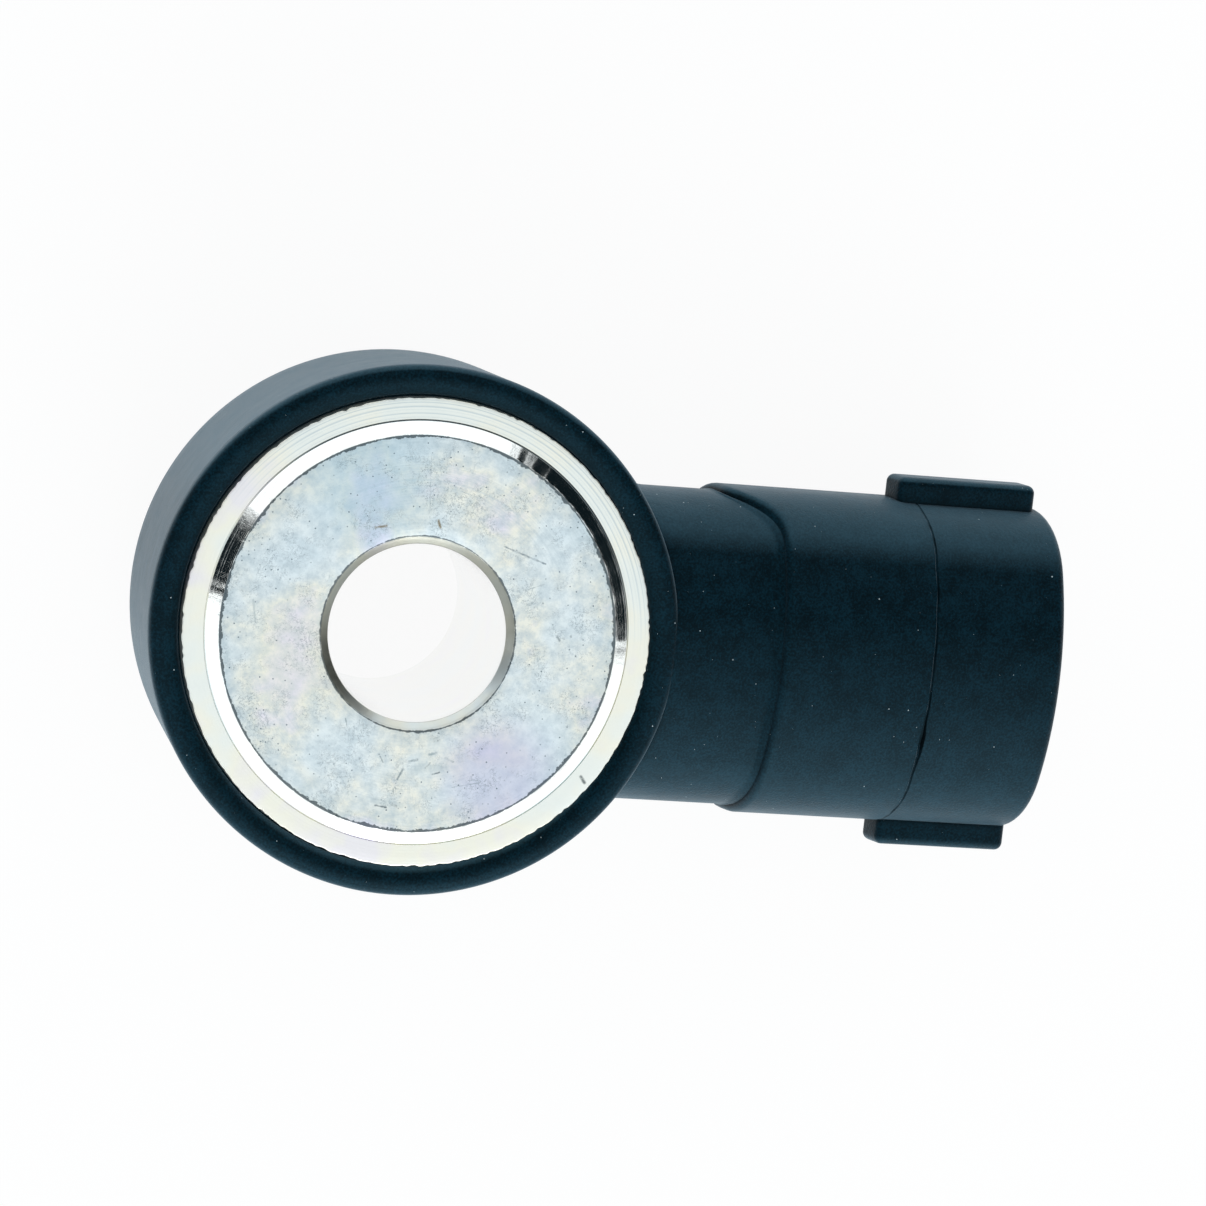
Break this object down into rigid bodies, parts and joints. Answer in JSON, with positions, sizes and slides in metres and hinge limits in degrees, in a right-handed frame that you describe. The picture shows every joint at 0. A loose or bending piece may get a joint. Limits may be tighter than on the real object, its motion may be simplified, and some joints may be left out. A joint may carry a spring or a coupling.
{
  "type": "engine knock sensor",
  "caption": "Round knock sensor with a steel through-sleeve, raised contact face and an angled plug socket with guide ribs.",
  "frame": {"origin": "bore axis at the bolt-head end of the sleeve, the end that the part lies on", "axes": "+Z along the bore out of the contact face, +X towards the plug socket, +Y completes the right-handed frame"},
  "size_m": [0.0447, 0.025, 0.0162],
  "materials": {
    "housing_plastic": "fine satin grain",
    "sleeve_steel": "zinc plated, clear passivated",
    "insulation": "film",
    "electrode_brass": "stamped strip",
    "piezo_ceramic": "fired, silvered faces",
    "mass_brass": "turned",
    "spring_steel": "blued",
    "nut_steel": "plated",
    "tinned_pin": "tinned",
    "carrier_plastic": "moulded",
    "resistor_ceramic": "coated"
  },
  "bodies": {
    "root": {"housing": "housing_plastic", "flanged_sleeve": "sleeve_steel", "insulating_sleeve": "insulation", "lower_insulator": "insulation", "lower_electrode": "electrode_brass", "piezo_ring": "piezo_ceramic", "upper_electrode": "electrode_brass", "upper_insulator": "insulation", "seismic_mass": "mass_brass", "disc_spring": "spring_steel", "clamp_nut": "nut_steel", "terminal_pin_a": "tinned_pin", "terminal_pin_b": "tinned_pin", "terminal_carrier": "carrier_plastic", "resistor_body": "resistor_ceramic", "resistor_cap_a": "tinned_pin", "resistor_cap_b": "tinned_pin", "resistor_lead_a": "tinned_pin", "resistor_lead_b": "tinned_pin"}
  },
  "joints": []
}
